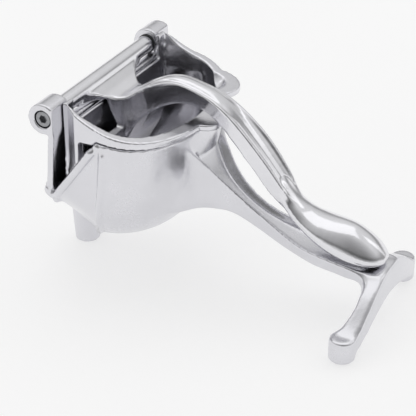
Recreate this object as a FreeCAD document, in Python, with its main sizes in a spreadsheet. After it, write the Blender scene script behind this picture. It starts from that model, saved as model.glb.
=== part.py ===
import FreeCAD, Part
import math
import os
import Sketcher
from FreeCAD import Placement, Rotation, Vector

# Hand press fruit juicer. Millimetres, +Z up, floor at Z = 0.
# Shapes are drawn with the hinge axis along Y above X = 0, the lever handle and the foot toward +X
# and the juice spout toward -X. Every finished node is then moved so that the origin of the part
# is the centre of the spout tip.

doc = FreeCAD.newDocument("HandPressJuicer")
sheet = doc.addObject("Spreadsheet::Sheet", "Sizes")

# name, value in millimetres, meaning
SIZES = [
    ("pivot_height", 99.8, "hinge axis above the floor"),
    ("ear_outer", 57.6, "middle plane to the outer face of a hinge ear"),
    ("ear_inner", 43.2, "middle plane to the inner face of a hinge ear"),
    ("ear_radius", 7.9, "radius of a hinge ear"),
    ("shaft_radius", 3.0, "pivot shaft radius"),
    ("shaft_fit", 0.05, "radial clearance of the hinge tube on the shaft"),
    ("tube_radius", 4.7, "outer radius of the hinge tube"),
    ("washer_thick", 0.7, "thickness of a thrust washer"),
    ("washer_radius", 5.0, "outer radius of a thrust washer"),
    ("end_gap", 0.05, "gap on each side of a thrust washer"),
    ("screw_head_radius", 3.9, "hinge screw head radius"),
    ("screw_head_tall", 3.2, "hinge screw head height"),
    ("screw_shank_radius", 2.0, "hinge screw shank radius"),
    ("screw_grip", 7.6, "length of hinge screw thread inside the shaft"),
    ("screw_recess_deep", 4.0, "depth of the recess in the ear"),
    ("screw_recess_fit", 0.7, "radial room round the screw head"),
    ("socket_across", 3.8, "width across flats of the screw socket"),
    ("socket_deep", 2.2, "depth of the screw socket"),
    ("front_wall_top", 94.2, "top of the front wall between the ears"),
    ("rim_gap", 0.6, "gap between the cup flange and the edge of the casting"),
    ("crease_radius", 1.2, "radius of the raised line on each side of the bowl"),
    ("wall_outer", 2.8, "wall of the outer bowl"),
    ("wall_cup", 2.5, "wall of the juice cup"),
    ("cup_half_width", 48.4, "outer half width of the juice cup"),
    ("bowl_half_width", 51.6, "outer half width of the bowl casting at its crease"),
    ("rim_half_width", 51.6, "half width of the juice cup rim flange"),
    ("mouth_bead_radius", 1.4, "radius of the bead round the side mouth"),
    ("lip_radius", 12.6, "radius of the pouring lip at the rim"),
    ("window_front", 15.0, "front edge of the near side window in the cup"),
    ("window_rear", 33.0, "rear edge of the cup side window"),
    ("window_bottom", 66.0, "lower edge of the cup side window"),
    ("window_top", 88.4, "upper edge of the cup side window"),
    ("strainer_radius", 1.7, "radius of a strainer hole"),
    ("strainer_pitch", 7.2, "distance between strainer holes"),
    ("spout_centre", -14.8, "spout axis, measured from the hinge axis"),
    ("spout_tip_radius", 6.7, "outer radius of the spout tip"),
    ("spout_root_radius", 8.2, "outer radius of the spout at the bowl"),
    ("spout_bore_radius", 4.6, "radius of the juice bore"),
    ("foot_centre", 151.1, "foot axis, measured from the hinge axis"),
    ("foot_half_pitch", 40.0, "middle plane to a foot axis"),
    ("foot_radius", 6.6, "foot radius"),
    ("foot_tall", 12.5, "foot height"),
    ("foot_round", 1.6, "rounding at the lower edge of a foot"),
    ("press_plate_half", 31.0, "half width of the press plate"),
    ("press_plate_thick", 4.0, "thickness of the press plate"),
]
for row, (alias, value, note) in enumerate(SIZES, start=1):
    sheet.set("A%d" % row, note)
    sheet.set("B%d" % row, str(value))
    sheet.setAlias("B%d" % row, alias)
doc.recompute()


def size(alias):
    """Current value of one driving dimension."""
    return float(sheet.get(alias))


# ---------------------------------------------------------------- shape helpers
def line_wire(points):
    """Closed wire of straight edges through the points."""
    return Part.makePolygon(list(points) + [points[0]])


def curve_edge(points):
    """Smooth open edge through the points."""
    curve = Part.BSplineCurve()
    curve.interpolate(points)
    return curve.toShape()


def ring_wire(points):
    """Smooth closed wire through the points."""
    curve = Part.BSplineCurve()
    curve.interpolate(Points=points, PeriodicFlag=True)
    return Part.Wire([curve.toShape()])


def side_prism(outline, half_depth):
    """Solid from an X-Z outline, spread to both sides of the middle plane."""
    points = [Vector(x, -half_depth, z) for x, z in outline]
    face = Part.Face(line_wire(points))
    return face.extrude(Vector(0, 2 * half_depth, 0))


def bowl_wire(z, front_x, front_half, crease_x, crease_half, rear_x):
    """Horizontal bowl section: flat front, straight sides, rounded rear."""
    rear = []
    steps = 16
    for step in range(steps + 1):
        angle = math.radians(-90 + 180 * step / steps)
        reach = (rear_x - crease_x) * math.cos(angle)
        rear.append(Vector(crease_x + reach, crease_half * math.sin(angle), z))
    front_near = Vector(front_x, -front_half, z)
    front_far = Vector(front_x, front_half, z)
    edges = [Part.makeLine(front_near, rear[0])]
    edges.append(curve_edge(rear))
    edges.append(Part.makeLine(rear[-1], front_far))
    edges.append(Part.makeLine(front_far, front_near))
    return Part.Wire(edges)


def bowl_solid(stations, inset):
    """Loft of bowl sections, every section shrunk by the inset."""
    wires = []
    for z, front_x, front_half, crease_x, crease_half, rear_x in stations:
        lift = inset if z == stations[0][0] else 0.0
        wires.append(bowl_wire(z + lift, front_x + inset, front_half - inset, crease_x,
                               crease_half - inset, rear_x - inset))
    return Part.makeLoft(wires, True, False)


def feature(name, shape):
    """Document object that carries a finished shape."""
    item = doc.addObject("Part::Feature", name)
    item.Shape = shape
    return item


def cylinder(name, radius, height, x, y, z, rotation=None):
    """Part cylinder whose sizes and position follow the sheet."""
    item = doc.addObject("Part::Cylinder", name)
    item.setExpression("Radius", radius)
    item.setExpression("Height", height)
    item.Placement = Placement(Vector(0, 0, 0), rotation or Rotation())
    item.setExpression("Placement.Base.x", x)
    item.setExpression("Placement.Base.y", y)
    item.setExpression("Placement.Base.z", z)
    return item


TURN_TO_FAR = Rotation(Vector(1, 0, 0), -90)
TURN_TO_NEAR = Rotation(Vector(1, 0, 0), 90)

# ---------------------------------------------------------------- body casting
# Outer bowl sections: z, front x, half width at the front, crease x, half width there, rear x
half = size("bowl_half_width")
BOWL = [
    (19.0, -19.4, 5.0, 1.0, 0.27 * half, 16.5),
    (21.6, -22.0, 7.0, 6.0, 0.42 * half, 28.0),
    (28.0, -21.6, 12.5, 13.0, 0.62 * half, 39.5),
    (38.0, -15.8, 27.0, 19.5, 0.81 * half, 49.0),
    (50.0, -8.2, 43.2, 23.5, 0.94 * half, 55.2),
    (62.0, -3.6, 50.8, 26.5, 0.99 * half, 58.4),
    (75.0, -0.8, 53.2, 28.0, half, 59.2),
    (85.0, 1.2, 54.2, 29.0, half, 59.2),
    (95.0, 2.6, 54.4, 29.5, half, 59.2),
]
bowl_outer = feature("bowl_outer", bowl_solid(BOWL, 0.0))
bowl_inner = feature("bowl_inner", bowl_solid(BOWL, size("wall_outer")))

# Raised line down each side of the bowl, where the flat front panel meets the round part.
crease_lines = []
for side, tag in ((-1, "near"), (1, "far")):
    path = [Vector(crease_x, side * (crease_half - 0.1), z) for z, _, _, crease_x, crease_half, _ in BOWL[2:8]]
    spine = Part.Wire([curve_edge(path)])
    start = spine.Edges[0].tangentAt(spine.Edges[0].FirstParameter)
    ring = Part.Wire([Part.makeCircle(size("crease_radius"), path[0], start)])
    crease_lines.append(feature("crease_" + tag, spine.makePipeShell([ring], True, False)))

# Raised bead round the lower end and the slanting edge of each side mouth.
mouth_beads = []
for side, tag in ((-1, "near"), (1, "far")):
    path = [Vector(x, side * y, z) for x, y, z in (
        (-3.7, 50.2, 58.4), (-3.5, 49.8, 55.8), (-1.8, 49.6, 54.7), (0.6, 50.0, 55.6), (3.0, 50.6, 58.5),
        (10.4, 52.0, 68.2), (17.2, 52.5, 77.4), (23.6, 52.5, 86.2))]
    spine = Part.Wire([curve_edge(path)])
    start = spine.Edges[0].tangentAt(spine.Edges[0].FirstParameter)
    ring = Part.Wire([Part.makeCircle(size("mouth_bead_radius"), path[0], start)])
    mouth_beads.append(feature("mouth_bead_" + tag, spine.makePipeShell([ring], True, False)))

# Everything above the casting's rim line and above the low front wall is cut away.
RIM_UNDER = [(25.5, 90.4), (33.0, 89.6), (42.0, 88.0), (50.0, 86.6), (64.0, 85.4)]
top_outline = [(-30.0, 130.0), (-30.0, 55.0), (-0.9, 55.0)] + RIM_UNDER + [(90.0, 85.4), (90.0, 130.0)]
top_cut = feature("top_cut", side_prism(top_outline, 80.0))

# The leaning front wall carries the ears and stops just under the hinge tube.
pivot_z = size("pivot_height")
ear_out = size("ear_outer")
ear_in = size("ear_inner")
strut_outline = [(-6.2, 46.0), (-3.6, 62.0), (2.2, 91.0), (3.2, pivot_z), (6.2, pivot_z), (5.4, 91.0),
                 (-0.2, 62.0), (-2.6, 46.0)]
strut = side_prism(strut_outline, ear_out)
front_top = size("front_wall_top")
strut_window = [Vector(-20, -ear_in, 130), Vector(-20, ear_in, 130), Vector(-20, ear_in, front_top),
                Vector(-20, -ear_in, front_top)]
strut = strut.cut(Part.Face(line_wire(strut_window)).extrude(Vector(60, 0, 0)))
for side in (-1, 1):
    slant = [Vector(-20, side * ear_out, 93), Vector(-20, side * 52.0, 62), Vector(-20, side * 44.0, 44),
             Vector(-20, side * 90, 44), Vector(-20, side * 90, 93)]
    strut = strut.cut(Part.Face(line_wire(slant)).extrude(Vector(60, 0, 0)))
# Thick top edge of the front wall, right under the hinge tube.
wall_bead = side_prism([(0.6, front_top), (5.4, front_top), (5.4, 90.0), (2.0, 88.0), (0.6, 91.0)], ear_in)
struts = feature("struts", strut.fuse(wall_bead))

# Low front wall between the struts, closing the bowl under the hinge.
front_band = side_prism([(-30.0, 50.0), (-30.0, 74.0), (20.0, 74.0), (20.0, 50.0)], 80.0)
front_wall = bowl_outer.Shape.cut(bowl_inner.Shape)
front_wall = front_wall.common(front_band)
front_keep = side_prism([(-30.0, 40.0), (-2.6, 46.0), (-0.2, 62.0), (2.2, 74.0), (-30.0, 80.0)], 49.0)
front_wall = feature("front_wall", front_wall.common(front_keep))

ears = []
for side, tag, turn in ((-1, "near", TURN_TO_NEAR), (1, "far", TURN_TO_FAR)):
    sign = "-" if side < 0 else ""
    ear = cylinder("ear_" + tag, "Sizes.ear_radius", "Sizes.ear_outer - Sizes.ear_inner",
                   "0", sign + "Sizes.ear_inner", "Sizes.pivot_height", turn)
    ears.append(ear)

# Trough arm stations: x, half width, lip height, underside height, trough depth
ARM = [
    (47.0, 24.0, 85.0, 42.6, 3.0),
    (53.0, 24.4, 83.6, 42.8, 4.0),
    (58.0, 19.0, 79.0, 43.4, 7.0),
    (63.0, 13.8, 71.6, 43.6, 7.6),
    (69.0, 9.8, 63.2, 43.4, 6.2),
    (76.0, 7.2, 56.0, 41.8, 4.8),
    (84.0, 6.2, 49.6, 38.4, 3.8),
    (92.0, 6.4, 44.8, 35.0, 3.4),
    (100.0, 7.8, 41.0, 32.2, 3.2),
    (109.0, 10.2, 37.8, 30.2, 3.4),
    (119.0, 12.6, 35.8, 28.4, 4.0),
    (130.0, 13.6, 34.4, 27.0, 4.4),
    (141.0, 13.6, 32.8, 25.4, 3.0),
    (150.0, 13.0, 31.4, 23.4, 0.9),
    (156.5, 11.4, 30.9, 21.6, 0.5),
]
wires = []
for x, reach, lip, under, deep in ARM:
    wires.append(line_wire([
        Vector(x, -reach, lip),
        Vector(x, -reach * 0.94, under + 1.2),
        Vector(x, -reach * 0.94 + 1.2, under),
        Vector(x, reach * 0.94 - 1.2, under),
        Vector(x, reach * 0.94, under + 1.2),
        Vector(x, reach, lip),
        Vector(x, reach - 1.5, lip),
        Vector(x, reach * 0.62 - 1.0, lip - deep),
        Vector(x, -reach * 0.62 + 1.0, lip - deep),
        Vector(x, -reach + 1.5, lip),
    ]))
arm = feature("arm", Part.makeLoft(wires, True, False))

# Arched foot bar stations: y, front x, rear x, underside height, top height
pitch = size("foot_half_pitch")
foot_x = size("foot_centre")
BAR = [
    (0.0, foot_x - 4.0, foot_x + 8.0, 15.0, 31.0),
    (12.0, foot_x - 2.4, foot_x + 8.2, 13.6, 29.8),
    (22.0, foot_x + 0.2, foot_x + 8.0, 10.4, 24.8),
    (31.0, foot_x - 1.0, foot_x + 7.4, 6.2, 18.2),
    (pitch, foot_x - 5.6, foot_x + 6.5, 2.6, 12.4),
]
bar_parts = []
for side in (-1, 1):
    wires = []
    for y, front, rear, under, top in BAR:
        wires.append(line_wire([
            Vector(front + 0.8, side * y, under),
            Vector(rear - 0.8, side * y, under),
            Vector(rear, side * y, under + 0.8),
            Vector(rear, side * y, top - 1.0),
            Vector(rear - 1.0, side * y, top),
            Vector(front + 0.8, side * y, top),
            Vector(front, side * y, top - 0.8),
            Vector(front, side * y, under + 0.8),
        ]))
    bar_parts.append(feature("bar_near" if side < 0 else "bar_far", Part.makeLoft(wires, True, False)))

feet = []
for sign, tag in (("-", "near"), ("", "far")):
    foot = cylinder("foot_" + tag, "Sizes.foot_radius", "Sizes.foot_tall", "Sizes.foot_centre",
                    sign + "Sizes.foot_half_pitch", "0")
    feet.append(foot)
doc.recompute()
rounded_feet = []
for foot in feet:
    rounded = doc.addObject("Part::Fillet", foot.Name + "_round")
    rounded.Base = foot
    edges = []
    for number, edge in enumerate(foot.Shape.Edges, start=1):
        flat = edge.BoundBox.ZLength < 0.01
        if flat:
            radius = size("foot_round") if edge.BoundBox.ZMax < 1.0 else 0.7
            edges.append((number, radius, radius))
    rounded.Edges = edges
    rounded_feet.append(rounded)

spout = doc.addObject("Part::Cone", "spout")
spout.setExpression("Radius1", "Sizes.spout_tip_radius")
spout.setExpression("Radius2", "Sizes.spout_root_radius")
spout.Height = 26.0
spout.setExpression("Placement.Base.x", "Sizes.spout_centre")
spout_bore = cylinder("spout_bore", "Sizes.spout_bore_radius", "27", "Sizes.spout_centre", "0", "-5")

doc.recompute()

# The far end of the spout cone that would stand inside the bowl is taken away with the cavity.
shaft_holes = []
for side, tag, turn in ((-1, "near", TURN_TO_NEAR), (1, "far", TURN_TO_FAR)):
    sign = "-" if side < 0 else ""
    hole = cylinder("shank_hole_" + tag, "Sizes.screw_shank_radius + 0.05",
                    "Sizes.ear_outer - Sizes.ear_inner + 10", "0", sign + "(Sizes.ear_inner - 5)",
                    "Sizes.pivot_height", turn)
    recess = cylinder("recess_" + tag, "Sizes.screw_head_radius + Sizes.screw_recess_fit",
                      "Sizes.screw_recess_deep + 5", "0",
                      sign + "(Sizes.ear_outer - Sizes.screw_recess_deep)", "Sizes.pivot_height", turn)
    shaft_holes += [hole, recess]

# The ear is flat behind, so the cup can slide past it.
ear_trim = feature("ear_trim", Part.makeBox(20, 160, 60, Vector(5.3, -80, pivot_z - 8.0)))

bowl_trim = doc.addObject("Part::Cut", "bowl_trimmed")
bowl_trim.Base = bowl_outer
bowl_trim.Tool = top_cut

solids = doc.addObject("Part::MultiFuse", "casting_solid")
solids.Shapes = [bowl_trim, struts, front_wall, arm, spout] + crease_lines + mouth_beads
solids.Shapes = solids.Shapes + bar_parts + ears + rounded_feet
doc.recompute()

# Removed stock: bowl cavity, ear trim, hinge holes, juice bore.
removed = doc.addObject("Part::MultiFuse", "casting_removed")
removed.Shapes = [bowl_inner, ear_trim, spout_bore] + shaft_holes
doc.recompute()

body_casting = doc.addObject("Part::Cut", "body_casting")
body_casting.Base = solids
body_casting.Tool = removed

# ---------------------------------------------------------------- juice cup
cup_half = size("cup_half_width")
CUP = [
    (30.0, -5.0, 6.0, 8.0, 0.26 * cup_half, 22.0),
    (33.4, -8.6, 10.0, 14.0, 0.48 * cup_half, 34.0),
    (40.0, -8.0, 20.0, 19.0, 0.70 * cup_half, 43.5),
    (50.0, -3.0, 35.0, 24.0, 0.87 * cup_half, 50.5),
    (62.0, 2.4, 45.0, 26.5, 0.96 * cup_half, 54.2),
    (72.0, 4.8, 47.9, 28.0, 0.99 * cup_half, 55.6),
    (81.0, 5.6, 48.3, 29.0, cup_half, 55.9),
    (89.0, 5.8, 48.4, 29.5, cup_half, 55.9),
    (97.0, 5.8, 48.4, 29.5, cup_half, 55.9),
    (105.0, 5.8, 48.4, 29.5, cup_half, 55.9),
    (113.0, 5.8, 48.4, 29.5, cup_half, 55.9),
]
cup_outer = bowl_solid(CUP, 0.0)
cup_inner = bowl_solid(CUP, size("wall_cup"))

# Rim flange that rests on the casting, wider at the rear where the finger ledge sits.
rim_half = size("rim_half_width")
rim_block = bowl_solid([
    (50.0, 13.0, rim_half - 0.9, 29.5, rim_half, 60.2),
    (112.0, 13.0, rim_half - 0.9, 29.5, rim_half, 60.2),
], 0.0)
for side in (-1, 1):
    shoulder = [Vector(7.4, side * 30, 50), Vector(7.4, side * 48.0, 50), Vector(13.2, side * (rim_half - 0.9), 50),
                Vector(13.2, side * 30, 50)]
    rim_block = rim_block.fuse(Part.Face(line_wire(shoulder)).extrude(Vector(0, 0, 62)))
ledge = Part.makeCylinder(10.4, 42.0, Vector(57.5, 0.0, 70.0))
rim_block = rim_block.fuse(ledge)

# Shallow pouring lip at the far rear of the rim.
rim_block = rim_block.fuse(Part.makeCylinder(size("lip_radius"), 14.0, Vector(45.6, 34.4, 80.0)))
rim_gap = size("rim_gap")
gap_points = [(x, z + rim_gap) for x, z in RIM_UNDER]
under_outline = [(0.6, 40.0), (0.6, 58.4)] + gap_points + [(90.0, 85.4 + rim_gap), (90.0, 40.0)]
rim_block = rim_block.cut(side_prism(under_outline, 80.0))

cup_solid = cup_outer.fuse(rim_block)
cup_solid = cup_solid.cut(cup_inner)
flare_low = size("cup_half_width") - size("wall_cup")
flare = bowl_solid([
    (86.0, 8.3, flare_low - 0.3, 29.5, flare_low - 0.3, 53.1),
    (110.0, 8.3, flare_low + 2.9, 29.5, flare_low + 2.9, 56.0),
], 0.0)
cup_solid = cup_solid.cut(flare)
lip_hollow = Part.makeSphere(9.0, Vector(43.6, 33.0, 95.6))
cup_solid = cup_solid.cut(lip_hollow)

# Sloping rim line with two horns beside the hinge.
RIM_TOP = [(5.5, 105.6), (8.0, 106.0), (10.0, 105.0), (14.0, 102.0), (19.0, 99.4), (25.0, 97.2), (33.0, 95.0),
           (41.0, 92.8), (49.0, 91.0), (57.0, 89.8), (66.0, 89.2)]
rim_curve = curve_edge([Vector(x, -80, z) for x, z in RIM_TOP])
roof = Part.Wire([rim_curve] + [
    Part.makeLine(Vector(66.0, -80, 89.2), Vector(90.0, -80, 89.2)),
    Part.makeLine(Vector(90.0, -80, 89.2), Vector(90.0, -80, 130.0)),
    Part.makeLine(Vector(90.0, -80, 130.0), Vector(0.0, -80, 130.0)),
    Part.makeLine(Vector(0.0, -80, 130.0), Vector(0.0, -80, 105.6)),
    Part.makeLine(Vector(0.0, -80, 105.6), Vector(5.5, -80, 105.6)),
])
cup_solid = cup_solid.cut(Part.Face(roof).extrude(Vector(0, 160, 0)))

# Between the horns the front wall stops below the hinge tube.
front_gap = Part.makeBox(12.0, 2 * (ear_in - 1.0), 40.0, Vector(-2.0, -(ear_in - 1.0), 93.2))
cup_solid = cup_solid.cut(front_gap)

# Side window, on the near side only.
window = Part.makeBox(size("window_rear") - size("window_front"), 70.0,
                      size("window_top") - size("window_bottom"),
                      Vector(size("window_front"), -70.0, size("window_bottom")))
window = window.makeFillet(1.6, [edge for edge in window.Edges if edge.BoundBox.YLength > 50])
cup_solid = cup_solid.cut(window)

# Strainer holes through the cup bottom.
holes = []
spacing = size("strainer_pitch")
for column in range(-1, 5):
    for row in range(-2, 3):
        shift = spacing / 2 if column % 2 else 0.0
        centre = Vector(2.0 + column * spacing * 0.866, row * spacing + shift - spacing / 4, 20.0)
        holes.append(Part.makeCylinder(size("strainer_radius"), 24.0, centre))
cup_solid = cup_solid.cut(Part.makeCompound(holes))
juice_cup = feature("juice_cup", cup_solid)

# ---------------------------------------------------------------- press lever
tube_half = ear_in - size("washer_thick") - 2 * size("end_gap")
tube = Part.makeCylinder(size("tube_radius"), 2 * tube_half, Vector(0, -tube_half, pivot_z), Vector(0, 1, 0))

# Stem stations: top x, top z, bottom x, bottom z, half width, lip width, channel depth (minus: crown)
STEM = [
    (16.0, 94.2, 13.5, 80.0, 9.6, 1.2, -0.8),
    (24.0, 98.8, 27.0, 86.0, 6.6, 1.2, -1.2),
    (34.0, 104.4, 37.0, 92.4, 5.9, 1.2, -1.4),
    (45.0, 106.5, 46.0, 95.8, 5.7, 1.2, -1.4),
    (56.0, 104.4, 54.0, 96.2, 5.9, 1.2, -1.2),
    (66.0, 100.6, 62.0, 94.0, 6.6, 1.4, -0.6),
    (75.5, 94.3, 70.0, 88.6, 7.4, 1.7, 0.8),
    (84.0, 86.7, 77.4, 81.4, 8.1, 1.9, 2.0),
    (92.0, 78.1, 85.0, 73.0, 8.3, 2.0, 2.3),
    (99.0, 69.1, 92.0, 64.4, 7.9, 1.9, 2.0),
    (105.0, 60.6, 98.6, 55.8, 6.9, 1.7, 1.0),
    (109.5, 55.8, 103.6, 51.0, 5.2, 1.2, 0.2),
]
wires = []
for top_x, top_z, low_x, low_z, reach, lip, deep in STEM:
    top = Vector(top_x, 0, top_z)
    low = Vector(low_x, 0, low_z)
    down = (low - top).normalize()
    groove = max(0.25, 0.5 * deep)
    middle = [(reach, 0.3), (reach - 0.5, 0.0), (reach - lip, 0.0), (reach - lip - 0.5, groove),
              (0.55 * (reach - lip), 0.8 * deep), (0.0, deep)]
    section = [top + down * drop + Vector(0, y, 0) for y, drop in middle]
    section += [top + down * drop - Vector(0, y, 0) for y, drop in reversed(middle[:-1])]
    section += [low - Vector(0, reach - 0.6, 0), low + Vector(0, reach - 0.6, 0)]
    wires.append(line_wire(section))
stem = Part.makeLoft(wires, True, False)

# Palm bulb stations: x, half width, top, crease and underside heights
BULB = [
    (100.0, 6.4, 65.6, 60.6, 56.2),
    (103.5, 7.3, 62.6, 57.4, 51.8),
    (107.0, 7.8, 58.6, 53.6, 48.0),
    (111.0, 8.7, 55.0, 50.0, 44.5),
    (116.0, 9.9, 52.1, 46.8, 41.4),
    (122.0, 11.4, 50.7, 44.2, 38.2),
    (129.0, 12.4, 50.1, 41.4, 35.4),
    (137.0, 12.7, 49.2, 38.6, 33.3),
    (144.0, 11.9, 46.6, 36.4, 32.3),
    (150.0, 10.0, 42.9, 35.3, 32.0),
    (153.8, 7.2, 39.4, 35.0, 32.4),
    (156.3, 3.4, 36.6, 34.8, 33.4),
]
wires = []
for x, reach, top, crease, under in BULB:
    rise = top - crease
    drop = crease - under
    right = [(0.0, top), (0.42 * reach, top - 0.10 * rise), (0.78 * reach, top - 0.42 * rise), (reach, crease),
             (0.97 * reach, crease - 0.5 * drop), (0.72 * reach, under + 0.08 * drop)]
    loop = [Vector(x, y, z) for y, z in right]
    loop.append(Vector(x, 0, under))
    loop += [Vector(x, -y, z) for y, z in reversed(right[1:])]
    wires.append(ring_wire(loop))
bulb = Part.makeLoft(wires, True, False)

# Gusset between tube and stem: wide at the tube, a hollow notch on each side.
GUSSET = [(0.0, 33.0), (3.4, 29.6), (5.0, 24.4), (6.9, 19.2), (10.6, 13.8), (14.8, 10.4), (19.0, 8.3), (24.0, 6.8),
          (29.0, 5.7)]
near_edge = curve_edge([Vector(x, -y, 60.0) for x, y in GUSSET])
far_edge = curve_edge([Vector(x, y, 60.0) for x, y in reversed(GUSSET)])
gusset_wire = Part.Wire([near_edge, Part.makeLine(Vector(29.0, -5.7, 60.0), Vector(29.0, 5.7, 60.0)), far_edge,
                         Part.makeLine(Vector(0, 33.0, 60.0), Vector(0, -33.0, 60.0))])
web = Part.Face(gusset_wire).extrude(Vector(0, 0, 60))
gusset_side = [(0.0, 95.4), (0.0, 102.6), (3.0, 101.8), (6.0, 99.0), (9.0, 96.2), (13.0, 94.2), (17.0, 94.6),
               (24.0, 99.0), (29.0, 102.2), (33.0, 91.0), (27.0, 86.6), (21.0, 79.2), (17.6, 72.0), (15.0, 66.0),
               (12.6, 66.0), (13.8, 72.0), (13.4, 78.0), (10.6, 88.0), (9.5, 94.4)]
gusset = web.common(side_prism(gusset_side, 60.0))

# Pressing block under the gusset, and the wide press plate it carries.
block_side = [(6.4, 96.0), (8.6, 95.2), (13.0, 93.6), (24.0, 96.6), (27.0, 87.0), (21.0, 79.0), (17.6, 72.0),
              (15.0, 66.0), (12.6, 66.0), (13.8, 72.0), (13.4, 78.0), (10.6, 88.0), (9.5, 94.4)]
block = web.common(side_prism(block_side, 60.0))

thick = size("press_plate_thick")
plate_half = size("press_plate_half")
plate_front = [(12.4, 79.0), (12.8, 73.0), (11.4, 67.0), (8.0, 60.0), (5.0, 54.0), (3.0, 50.0)]
plate_rear = [(x + thick * 0.92, z - thick * 0.30) for x, z in plate_front]
plate_side = plate_front + list(reversed(plate_rear))
plate = side_prism(plate_side, plate_half)
plate_face = [Vector(-20, -16.0, 81), Vector(-20, -plate_half, 74), Vector(-20, -plate_half, 62),
              Vector(-20, -0.80 * plate_half, 44), Vector(-20, 0.80 * plate_half, 44),
              Vector(-20, plate_half, 62), Vector(-20, plate_half, 74), Vector(-20, 16.0, 81)]
plate = plate.common(Part.Face(line_wire(plate_face)).extrude(Vector(60, 0, 0)))

bore = Part.makeCylinder(size("shaft_radius") + size("shaft_fit"), 200.0, Vector(0, -100, pivot_z), Vector(0, 1, 0))
lever_shape = tube.multiFuse([gusset, block, stem, bulb, plate])
lever_shape = lever_shape.cut(bore)
press_lever = feature("press_lever", lever_shape)
doc.recompute()


# ---------------------------------------------------------------- hinge hardware
def plane_of(body, role):
    """Origin plane of a body by its role."""
    for item in body.Origin.OriginFeatures:
        if item.Role == role:
            return item
    return None


def sketch_on(body, name, role):
    """Empty sketch lying on one origin plane of the body."""
    sketch = body.newObject("Sketcher::SketchObject", name)
    sketch.AttachmentSupport = (plane_of(body, role), "")
    sketch.MapMode = "FlatFace"
    return sketch


def add_circle(sketch, radius_name):
    """Circle on the sketch origin whose radius follows the sheet."""
    index = sketch.addGeometry(Part.Circle(Vector(0, 0, 0), Vector(0, 0, 1), 3.0), False)
    sketch.addConstraint(Sketcher.Constraint("Coincident", index, 3, -1, 1))
    dimension = sketch.addConstraint(Sketcher.Constraint("Radius", index, 3.0))
    sketch.setExpression("Constraints[%d]" % dimension, radius_name)
    return index


shaft = doc.addObject("PartDesign::Body", "pivot_shaft")
profile = sketch_on(shaft, "shaft_profile", "XY_Plane")
add_circle(profile, "Sizes.shaft_radius")
rod = shaft.newObject("PartDesign::Pad", "shaft_rod")
rod.Profile = profile
rod.setExpression("Length", "2 * (Sizes.ear_inner - Sizes.end_gap)")
rod.Midplane = True
tap_profile = sketch_on(shaft, "shaft_tap_profile", "XY_Plane")
add_circle(tap_profile, "Sizes.screw_shank_radius")
tap = shaft.newObject("PartDesign::Pocket", "shaft_taps")
tap.Profile = tap_profile
tap.Type = "ThroughAll"
tap.Midplane = True
shaft.Tip = tap
shaft.Placement = Placement(Vector(0, 0, 0), TURN_TO_FAR)
shaft.setExpression("Placement.Base.z", "Sizes.pivot_height")

screws = []
washers = []
for side, tag, turn in ((-1, "near", TURN_TO_NEAR), (1, "far", TURN_TO_FAR)):
    sign = "-" if side < 0 else ""
    # Local Z of a screw points outward; Z = 0 lies on the recess floor.
    screw = doc.addObject("PartDesign::Body", "screw_blank_" + tag)
    head_sketch = sketch_on(screw, "head_profile_" + tag, "XY_Plane")
    add_circle(head_sketch, "Sizes.screw_head_radius")
    head = screw.newObject("PartDesign::Pad", "screw_head_" + tag)
    head.Profile = head_sketch
    head.setExpression("Length", "Sizes.screw_head_tall")
    shank_sketch = sketch_on(screw, "shank_profile_" + tag, "XY_Plane")
    add_circle(shank_sketch, "Sizes.screw_shank_radius")
    shank = screw.newObject("PartDesign::Pad", "screw_shank_" + tag)
    shank.Profile = shank_sketch
    shank.setExpression("Length", "Sizes.ear_outer - Sizes.screw_recess_deep - Sizes.ear_inner + Sizes.screw_grip")
    shank.Reversed = True
    screw.Tip = shank
    doc.recompute()
    socket = doc.addObject("Part::Prism", "socket_" + tag)
    socket.Polygon = 6
    socket.setExpression("Circumradius", "Sizes.socket_across / 1.7320508")
    socket.setExpression("Height", "Sizes.socket_deep + 2")
    socket.setExpression("Placement.Base.z", "Sizes.screw_head_tall - Sizes.socket_deep")
    finished = doc.addObject("Part::Cut", "pivot_screw_" + tag)
    finished.Base = screw
    finished.Tool = socket
    finished.Placement = Placement(Vector(0, 0, 0), turn)
    finished.setExpression("Placement.Base.y", sign + "(Sizes.ear_outer - Sizes.screw_recess_deep)")
    finished.setExpression("Placement.Base.z", "Sizes.pivot_height")
    screws.append(finished)

    washer = doc.addObject("PartDesign::Body", "thrust_washer_" + tag)
    ring = sketch_on(washer, "washer_profile_" + tag, "XY_Plane")
    add_circle(ring, "Sizes.washer_radius")
    add_circle(ring, "Sizes.shaft_radius + Sizes.shaft_fit")
    disc = washer.newObject("PartDesign::Pad", "washer_disc_" + tag)
    disc.Profile = ring
    disc.setExpression("Length", "Sizes.washer_thick")
    washer.Tip = disc
    washer.Placement = Placement(Vector(0, 0, 0), turn)
    washer.setExpression("Placement.Base.y",
                         sign + "(Sizes.ear_inner - Sizes.end_gap - Sizes.washer_thick)")
    washer.setExpression("Placement.Base.z", "Sizes.pivot_height")
    washers.append(washer)
doc.recompute()

# The origin of the part is the spout tip, so every node moves by the spout's distance.
NODES = [body_casting, juice_cup, press_lever, shaft] + screws + washers
for item in NODES:
    item.Label = item.Name
    item.setExpression("Placement.Base.x", "-Sizes.spout_centre")
doc.recompute()

for item in doc.Objects:
    if "Invalid" in item.State or "Error" in item.State:
        raise RuntimeError("object %s is in state %s" % (item.Name, item.State))

os.makedirs("parts", exist_ok=True)
for item in NODES:
    shape = item.Shape
    if shape.isNull() or not shape.isValid():
        raise RuntimeError("bad shape in " + item.Name)
    print("%-20s solids %d volume %.0f box %s" % (item.Label, len(shape.Solids), shape.Volume, shape.BoundBox))
    shape.exportStep("parts/%s.step" % item.Label)
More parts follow.
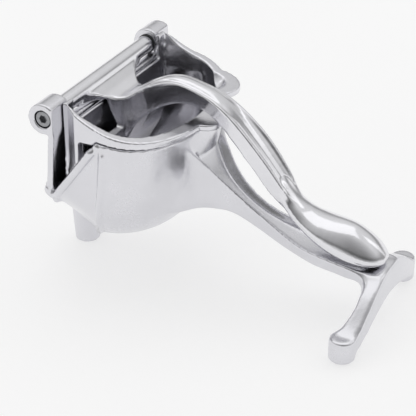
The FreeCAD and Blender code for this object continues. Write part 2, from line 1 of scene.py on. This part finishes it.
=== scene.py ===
import bpy
import math
import numpy as np
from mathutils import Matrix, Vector


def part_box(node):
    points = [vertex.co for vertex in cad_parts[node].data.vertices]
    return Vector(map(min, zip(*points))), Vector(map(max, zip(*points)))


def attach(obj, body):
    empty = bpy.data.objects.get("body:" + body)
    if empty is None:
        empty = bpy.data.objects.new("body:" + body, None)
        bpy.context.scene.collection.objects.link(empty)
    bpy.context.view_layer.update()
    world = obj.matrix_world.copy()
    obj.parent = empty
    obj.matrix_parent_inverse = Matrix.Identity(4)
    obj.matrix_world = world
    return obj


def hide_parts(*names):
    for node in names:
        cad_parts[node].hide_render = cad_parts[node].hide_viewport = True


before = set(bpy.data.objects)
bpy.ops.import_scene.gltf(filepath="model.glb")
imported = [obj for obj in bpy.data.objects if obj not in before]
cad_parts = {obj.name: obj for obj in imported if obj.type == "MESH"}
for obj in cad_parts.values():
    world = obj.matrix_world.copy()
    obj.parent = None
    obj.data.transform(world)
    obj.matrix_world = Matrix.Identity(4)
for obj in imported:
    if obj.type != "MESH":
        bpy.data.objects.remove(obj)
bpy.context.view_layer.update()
scene = bpy.context.scene

# ---------------------------------------------------------------- camera
camera_data = bpy.data.cameras.new("photo_camera")
camera_data.sensor_width = 36.0
camera_data.lens = 121.79
camera_data.clip_start = 0.01
camera_data.clip_end = 20.0
camera = bpy.data.objects.new("photo_camera", camera_data)
camera.location = (0.358243, -0.550905, 0.402432)
camera.rotation_euler = (math.radians(59.5), 0.0, math.radians(27.326385))
scene.collection.objects.link(camera)
scene.camera = camera
scene.view_settings.view_transform = "Standard"
scene.view_settings.look = "None"


HINGE_X = 0.0148
HINGE_Z = 0.0998
MM = 0.001
# Weights of one smoothing round: it shrinks the mesh a little, then grows it back.
SHRINK = 0.5
GROW = -0.52
# A blend moves points by up to BLEND_PULL, fading over the ellipsoid's outer part.
BLEND_PULL = 0.6
BLEND_FADE = 1.6
BEAD_PULL = 0.3


# ---------------------------------------------------------------- cast skins
def relax(points, first, second, weight, rounds):
    """Moves every point toward the middle of its neighbours, by its weight, a number of rounds."""
    count = len(points)
    degree = np.bincount(first, minlength=count) + np.bincount(second, minlength=count)
    degree = np.maximum(degree, 1)
    for _ in range(rounds):
        for axis in range(3):
            line = points[:, axis]
            total = np.bincount(first, line[second], count) + np.bincount(second, line[first], count)
            line += weight * (total / degree - line)


def soften(points, first, second, rounds):
    """Takes the saw-teeth off the mesh but keeps its bulk: each round shrinks, then grows again."""
    count = len(points)
    for _ in range(rounds):
        relax(points, first, second, np.full(count, SHRINK), 1)
        relax(points, first, second, np.full(count, GROW), 1)


def raise_bead(points, normals, path, reach, height):
    """Raises a rounded bead on the surface along a path. The path, reach and height are in
    millimetres, and the path starts from the point on the floor under the hinge axis."""
    stops = np.array([(x * MM + HINGE_X, y * MM, z * MM) for x, y, z in path])
    nearest = np.full(len(points), 1.0)
    for start, end in zip(stops[:-1], stops[1:]):
        run = end - start
        share = np.clip((points - start) @ run / (run @ run), 0.0, 1.0)
        away = np.linalg.norm(points - (start + share[:, None] * run), axis=1)
        nearest = np.minimum(nearest, away)
    lift = np.sqrt(np.clip(1.0 - (nearest / (reach * MM)) ** 2, 0.0, 1.0))
    points += normals * (lift * height * MM)[:, None]


def cast_skin(node_name, body, voxel, soft_rounds, blends, beads=()):
    """A cast piece round its CAD node: the node's mesh made even, its edges and corners softened.
    Each blend is a centre and radii in millimetres, from the point on the floor under the hinge
    axis, and a number of rounds: inside that ellipsoid the metal flows from one face into the
    next, as in a casting. A blend off the middle plane is made on both sides. Each bead is a
    path, reach and height for raise_bead, and is raised on both sides. Nothing passes the node's
    own box."""
    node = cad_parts[node_name]
    skin = bpy.data.objects.new(node_name + "_skin", node.data.copy())
    skin.matrix_world = node.matrix_world
    scene.collection.objects.link(skin)
    remesh = skin.modifiers.new("even", "REMESH")
    remesh.mode = "VOXEL"
    remesh.voxel_size = voxel
    remesh.use_smooth_shade = True
    graph = bpy.context.evaluated_depsgraph_get()
    even = bpy.data.meshes.new_from_object(skin.evaluated_get(graph))
    skin.modifiers.clear()
    skin.data = even
    count = len(even.vertices)
    points = np.empty(count * 3)
    even.vertices.foreach_get("co", points)
    points = points.reshape(count, 3)
    ends = np.empty(len(even.edges) * 2, dtype=np.int32)
    even.edges.foreach_get("vertices", ends)
    first, second = ends.reshape(-1, 2).T
    soften(points, first, second, soft_rounds)
    for centre, radii, rounds in blends:
        for side in ((1, -1) if centre[1] else (1,)):
            middle = np.array([centre[0] * MM + HINGE_X, side * centre[1] * MM, centre[2] * MM])
            away = np.linalg.norm((points - middle) / (np.array(radii) * MM), axis=1)
            pull = BLEND_PULL * np.clip(BLEND_FADE * (1.0 - away), 0.0, 1.0)
            relax(points, first, second, pull, rounds)
    if beads:
        even.vertices.foreach_set("co", points.ravel())
        even.update()
        normals = np.empty(count * 3, dtype=np.float32)
        even.vertex_normals.foreach_get("vector", normals)
        normals = normals.reshape(count, 3)
        for path, reach, height in beads:
            for side in (1, -1):
                raise_bead(points, normals, [(x, side * y, z) for x, y, z in path], reach, height)
        relax(points, first, second, np.full(count, BEAD_PULL), 1)
    low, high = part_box(node_name)
    points = np.clip(points, np.array(low), np.array(high))
    even.vertices.foreach_set("co", points.ravel())
    even.polygons.foreach_set("use_smooth", np.ones(len(even.polygons), dtype=bool))
    even.update()
    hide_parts(node_name)
    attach(skin, body)
    return skin


# Centre, radii and rounds of each blend. The first one evens the whole arm and foot.
BODY_BLENDS = [
    ((120.0, 0.0, 30.0), (62.0, 62.0, 40.0), 2),
    ((57.0, 18.0, 47.0), (17.0, 13.0, 12.0), 70),
    ((57.0, 19.0, 66.0), (11.0, 10.0, 16.0), 40),
    ((56.0, 21.0, 81.0), (8.0, 8.0, 8.0), 26),
    ((62.0, 14.0, 76.0), (9.0, 8.0, 9.0), 12),
    ((-5.0, 46.0, 47.0), (8.0, 8.0, 7.0), 20),
    ((27.0, 53.0, 86.5), (5.0, 4.0, 4.0), 14),
    ((-14.8, 0.0, 21.0), (13.0, 13.0, 6.0), 25),
    ((148.0, 15.0, 27.0), (9.0, 8.0, 9.0), 45),
    ((152.0, 0.0, 28.0), (14.0, 20.0, 7.0), 25),
    ((146.0, 0.0, 34.0), (12.0, 14.0, 6.0), 12),
    ((150.0, 37.0, 11.0), (11.0, 10.0, 7.0), 18),
    ((3.5, 50.0, 91.5), (7.0, 8.0, 6.0), 12),
]
# The bead round the side mouth's lower end and slanting edge, and the line up the bowl's side.
MOUTH_BEAD = [(-3.9, 52.0, 60.0), (-3.5, 50.8, 56.6), (-1.8, 50.8, 55.0), (0.8, 51.2, 56.4),
              (3.6, 51.6, 59.4), (10.7, 53.0, 68.6), (17.5, 53.5, 77.8), (25.4, 53.2, 88.4)]
CREASE_BEAD = [(14.5, 34.0, 29.0), (19.5, 42.4, 38.0), (23.6, 48.8, 50.0), (26.5, 51.6, 62.0),
               (28.0, 52.4, 75.0), (29.0, 52.4, 88.5)]
# Path, reach and height of each bead.
BODY_BEADS = [
    (MOUTH_BEAD, 2.4, 0.9),
    (CREASE_BEAD, 2.2, 0.6),
]
LEVER_BLENDS = [
    ((104.0, 0.0, 56.0), (12.0, 11.0, 10.0), 26),
    ((4.0, 28.0, 98.5), (6.0, 16.0, 6.0), 10),
    ((14.0, 9.0, 93.0), (9.0, 9.0, 8.0), 10),
    ((14.5, 8.0, 73.0), (8.0, 10.0, 8.0), 25),
]

skins = {
    "body_casting": cast_skin("body_casting", "press_body", voxel=0.0007,
                              soft_rounds=5, blends=BODY_BLENDS, beads=BODY_BEADS),
    "juice_cup": cast_skin("juice_cup", "press_body", voxel=0.00065,
                           soft_rounds=2, blends=[]),
    "press_lever": cast_skin("press_lever", "lever", voxel=0.00055,
                             soft_rounds=3, blends=LEVER_BLENDS),
}


# ---------------------------------------------------------------- node helpers
class Graph:
    """Adds nodes to one node tree and joins them by socket name or number."""

    def __init__(self, tree):
        self.tree = tree
        self.tree.nodes.clear()

    def add(self, kind, settings=None, **inputs):
        node = self.tree.nodes.new(kind)
        for key, value in (settings or {}).items():
            setattr(node, key, value)
        for key, value in inputs.items():
            self.put(node, key, value)
        return node

    def put(self, node, key, value):
        """Sets or links an input, named with _ for each space, or i0, i1 and so on by number."""
        if isinstance(key, str) and key.startswith("i") and key[1:].isdigit():
            socket = node.inputs[int(key[1:])]
        else:
            socket = node.inputs[key.replace("_", " ")]
        if isinstance(value, bpy.types.NodeSocket):
            self.tree.links.new(value, socket)
        else:
            socket.default_value = value

    def maths(self, operation, first, second=0.0):
        node = self.add("ShaderNodeMath", {"operation": operation})
        self.put(node, "i0", first)
        self.put(node, "i1", second)
        return node.outputs[0]

    def noise(self, vector, scale, detail=2.0, rough=0.5, distortion=0.0):
        node = self.add("ShaderNodeTexNoise", Vector=vector, Scale=scale, Detail=detail,
                        Roughness=rough, Distortion=distortion)
        return node.outputs["Fac"]

    def ramp(self, fac, stops):
        node = self.add("ShaderNodeValToRGB", Fac=fac)
        elements = node.color_ramp.elements
        while len(elements) < len(stops):
            elements.new(0.5)
        for element, (position, grey) in zip(elements, stops):
            element.position = position
            element.color = (grey, grey, grey, 1.0)
        return node.outputs["Color"]

    def remap(self, value, low, high, to_low, to_high):
        node = self.add("ShaderNodeMapRange", {"clamp": True})
        self.put(node, "i0", value)
        self.put(node, "i1", low)
        self.put(node, "i2", high)
        self.put(node, "i3", to_low)
        self.put(node, "i4", to_high)
        return node.outputs[0]

    def stretched(self, coordinates, scale, turn):
        node = self.add("ShaderNodeMapping", Vector=coordinates, Scale=scale, Rotation=turn)
        return node.outputs[0]

    def scaled(self, colour, share):
        node = self.add("ShaderNodeVectorMath", {"operation": "SCALE"})
        self.put(node, "i0", colour)
        self.put(node, "Scale", share)
        return node.outputs[0]

    def dot(self, first, second):
        node = self.add("ShaderNodeVectorMath", {"operation": "DOT_PRODUCT"})
        self.put(node, "i0", first)
        self.put(node, "i1", second)
        return node.outputs["Value"]

    def finish(self, kind, shader):
        self.put(self.add(kind), "Surface", shader.outputs[0])


def new_material(name):
    """A material with an empty graph, and the object coordinates in that graph."""
    material = bpy.data.materials.new(name)
    material.use_nodes = True
    graph = Graph(material.node_tree)
    return material, graph, graph.add("ShaderNodeTexCoord").outputs["Object"]


def cast_metal(name, tint, rough_low, rough_high, edge_radius, peel, lines,
               line_turn=(0.0, 0.0, 0.0)):
    """Polished cast aluminium: soft clouding, orange peel, fine buffing lines, and a painted
    highlight that makes the edges brighter.
    """
    material, g, where = new_material(name)

    rounded = g.add("ShaderNodeBevel", {"samples": 6}, Radius=edge_radius)
    geometry = g.add("ShaderNodeNewGeometry")
    align = g.dot(rounded.outputs[0], geometry.outputs["Normal"])
    edge = g.remap(align, 0.995, 0.86, 0.0, 1.0)

    clouds = g.noise(where, 34.0, 3.0, 0.55, 0.4)
    stains = g.noise(where, 120.0, 4.0, 0.6, 0.2)
    grain = g.noise(where, 2600.0, 2.0, 0.5)
    buff = g.noise(g.stretched(where, (260.0, 2600.0, 1500.0), line_turn), 1.0, 3.0, 0.6)
    swirl = g.noise(g.stretched(where, (1900.0, 210.0, 900.0), line_turn), 1.0, 2.0, 0.5)
    peel_noise = g.noise(where, 320.0, 2.0, 0.5)
    wave = g.noise(where, 62.0, 1.0, 0.5)

    # Colour: clean metal with faint cloudy staining, and a painted highlight along the rounded
    # edges, which paints them brighter.
    mix = g.maths("ADD", g.maths("MULTIPLY", clouds, 0.6), g.maths("MULTIPLY", stains, 0.4))
    tone = g.remap(mix, 0.3, 0.7, 0.955, 1.03)
    # Painted highlight: the edge mask raises the base colour by up to 5% on the rounded edges.
    tone = g.maths("ADD", tone, g.maths("MULTIPLY", edge, 0.05))

    # Roughness: buffed unevenly, with fine lines across it, smoother where hands rub the edges.
    rough = g.remap(mix, 0.32, 0.68, rough_low, rough_high)
    rough = g.maths("ADD", rough, g.maths("MULTIPLY", g.maths("SUBTRACT", buff, 0.5), 0.10))
    rough = g.maths("SUBTRACT", rough, g.maths("MULTIPLY", edge, 0.04))
    rough = g.maths("MAXIMUM", rough, 0.03)

    # Height: orange peel, slow waves left by hand polishing, buffing lines and fine grain.
    height = g.maths("MULTIPLY", peel_noise, peel)
    height = g.maths("ADD", height, g.maths("MULTIPLY", wave, 2.2 * peel))
    height = g.maths("ADD", height, g.maths("MULTIPLY", buff, 0.16 * lines))
    height = g.maths("ADD", height, g.maths("MULTIPLY", swirl, 0.12 * lines))
    height = g.maths("ADD", height, g.maths("MULTIPLY", grain, 0.015))
    bump = g.add("ShaderNodeBump", Strength=0.22, Distance=0.0006, Height=height,
                 Normal=rounded.outputs[0])

    shader = g.add("ShaderNodeBsdfPrincipled", Metallic=1.0, Roughness=rough,
                   Normal=bump.outputs[0])
    g.put(shader, "Base Color", g.scaled(tint, tone))
    g.finish("ShaderNodeOutputMaterial", shader)
    return material


def turned_steel(name, tint, roughness, ring_scale):
    """Machined steel with turning rings about the hinge axis and a little oil staining."""
    material, g, where = new_material(name)
    split = g.add("ShaderNodeSeparateXYZ", Vector=where).outputs
    up = g.maths("SUBTRACT", split["Z"], HINGE_Z)
    along = g.maths("ABSOLUTE", g.maths("SUBTRACT", split["X"], HINGE_X))
    radius = g.maths("SQRT", g.maths("ADD", g.maths("POWER", along, 2.0),
                                     g.maths("POWER", g.maths("ABSOLUTE", up), 2.0)))
    ring_place = g.add("ShaderNodeCombineXYZ", X=g.maths("MULTIPLY", radius, ring_scale),
                       Y=g.maths("MULTIPLY", split["Y"], ring_scale * 0.4)).outputs[0]
    rings = g.noise(ring_place, 1.0, 3.0, 0.6)
    stain = g.noise(where, 420.0, 4.0, 0.6)
    tone = g.maths("MULTIPLY", g.remap(stain, 0.3, 0.75, 1.08, 0.72),
                   g.remap(rings, 0.3, 0.7, 0.94, 1.05))
    rough = g.remap(rings, 0.3, 0.7, roughness - 0.07, roughness + 0.09)
    rounded = g.add("ShaderNodeBevel", {"samples": 6}, Radius=0.0002)
    bump = g.add("ShaderNodeBump", Strength=0.3, Distance=0.0001, Height=rings,
                 Normal=rounded.outputs[0])
    shader = g.add("ShaderNodeBsdfPrincipled", Metallic=1.0, Roughness=rough,
                   Normal=bump.outputs[0])
    g.put(shader, "Base Color", g.scaled(tint, tone))
    g.finish("ShaderNodeOutputMaterial", shader)
    return material


def moulded_nylon(name, tint):
    """Dark nylon for the thrust washers: a fine moulded grain, a little uneven in tone."""
    material, g, where = new_material(name)
    grain = g.noise(where, 3200.0, 3.0, 0.6)
    patch = g.noise(where, 300.0, 2.0, 0.5)
    tone = g.remap(patch, 0.3, 0.7, 0.86, 1.0)
    rough = g.remap(grain, 0.3, 0.7, 0.42, 0.58)
    bump = g.add("ShaderNodeBump", Strength=0.25, Distance=0.0001, Height=grain)
    shader = g.add("ShaderNodeBsdfPrincipled", Roughness=rough, Normal=bump.outputs[0])
    g.put(shader, "Base Color", g.scaled(tint, tone))
    g.put(shader, "Subsurface Weight", 0.08)
    g.finish("ShaderNodeOutputMaterial", shader)
    return material


BODY_TINT = (0.735, 0.733, 0.765)
CUP_TINT = (0.75, 0.748, 0.78)
LEVER_TINT = (0.80, 0.798, 0.825)
body_metal = cast_metal("cast_body_metal", BODY_TINT, 0.21, 0.29, 0.0004, 0.28, 0.30)
cup_metal = cast_metal("cast_cup_metal", CUP_TINT, 0.18, 0.26, 0.0004, 0.24, 0.40,
                       (0.0, math.radians(90), 0.0))
lever_metal = cast_metal("cast_lever_metal", LEVER_TINT, 0.12, 0.19, 0.0006, 0.22, 0.30,
                         (0.0, math.radians(35), 0.0))
shaft_steel = turned_steel("steel_shaft_metal", (0.62, 0.63, 0.65), 0.26, 9000.0)
screw_steel = turned_steel("steel_screw_metal", (0.36, 0.365, 0.38), 0.30, 7000.0)
washer_nylon = moulded_nylon("washer_nylon", (0.045, 0.045, 0.05))

LOOKS = {
    "body_casting": body_metal,
    "juice_cup": cup_metal,
    "press_lever": lever_metal,
    "pivot_shaft": shaft_steel,
    "pivot_screw_near": screw_steel,
    "pivot_screw_far": screw_steel,
    "thrust_washer_near": washer_nylon,
    "thrust_washer_far": washer_nylon,
}
for node_name, look in LOOKS.items():
    shown = skins.get(node_name)
    if shown:
        shown.data.materials.clear()
        shown.data.materials.append(look)
    else:
        for material_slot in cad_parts[node_name].material_slots:
            material_slot.material = look

# ---------------------------------------------------------------- floor
FLOOR_HALF = 3.0
FLOOR_GLOW = 0.60
floor_mesh = bpy.data.meshes.new("floor")
floor_mesh.from_pydata([(-FLOOR_HALF, -FLOOR_HALF, 0.0), (FLOOR_HALF, -FLOOR_HALF, 0.0),
                        (FLOOR_HALF, FLOOR_HALF, 0.0), (-FLOOR_HALF, FLOOR_HALF, 0.0)],
                       [], [(0, 1, 2, 3)])
floor = bpy.data.objects.new("floor", floor_mesh)
scene.collection.objects.link(floor)
floor_paint, floor_graph, floor_where = new_material("floor_paper")
floor_tone = floor_graph.remap(floor_graph.noise(floor_where, 2.0, 2.0), 0.3, 0.7, 0.43, 0.45)
floor_colour = floor_graph.add("ShaderNodeCombineColor", Red=floor_tone, Green=floor_tone,
                               Blue=floor_tone)
floor_shader = floor_graph.add("ShaderNodeBsdfPrincipled", Roughness=0.9)
floor_graph.put(floor_shader, "Base Color", floor_colour.outputs[0])
floor_graph.put(floor_shader, "Emission Color", (1.0, 1.0, 1.0, 1.0))
floor_graph.put(floor_shader, "Emission Strength", FLOOR_GLOW)
floor_graph.finish("ShaderNodeOutputMaterial", floor_shader)
floor_mesh.materials.append(floor_paint)

# ---------------------------------------------------------------- studio light
world = bpy.data.worlds.new("studio")
scene.world = world
world.use_nodes = True
w = Graph(world.node_tree)
direction = w.add("ShaderNodeTexCoord").outputs["Generated"]
parts = w.add("ShaderNodeSeparateXYZ", Vector=direction).outputs
# A tent seen in the metal: bright up to the horizon, a dark band above it, lighter overhead.
# Each stop is a height, 0.5 being the horizon and 1.0 straight up, and the grey seen there.
DOME_STOPS = [(0.0, 0.95), (0.50, 1.0), (0.56, 0.95), (0.62, 0.36), (0.67, 0.36),
              (0.745, 0.70), (0.86, 0.80), (1.0, 0.74)]
dome = w.ramp(w.remap(parts["Z"], -1.0, 1.0, 0.0, 1.0), DOME_STOPS)
# Darker towards the side the camera stands on, where a studio has no panels.
CAMERA_SIDE = (0.44, -0.80, 0.40)
shade = w.remap(w.dot(direction, CAMERA_SIDE), 0.45, 0.98, 1.0, 0.35)
sky = w.add("ShaderNodeBackground", Color=w.scaled(dome, shade), Strength=1.0)
w.finish("ShaderNodeOutputWorld", sky)


def soft_box(name, place, aim, width, height, power):
    """A rectangular studio light aimed at a point, its sides in metres and its power in watts."""
    data = bpy.data.lights.new(name, "AREA")
    data.shape = "RECTANGLE"
    data.size = width
    data.size_y = height
    data.energy = power
    lamp = bpy.data.objects.new(name, data)
    lamp.location = place
    facing = Vector(aim) - Vector(place)
    lamp.rotation_euler = facing.to_track_quat("-Z", "Y").to_euler()
    scene.collection.objects.link(lamp)


AIM = (0.075, 0.0, 0.05)
soft_box("top_light", (-0.1, 0.3, 1.4), AIM, 1.6, 1.2, 2.6)
soft_box("left_light", (-1.1, -0.2, 0.7), AIM, 0.3, 0.9, 0.45)
soft_box("right_light", (1.0, 0.9, 0.8), AIM, 0.3, 0.9, 0.45)
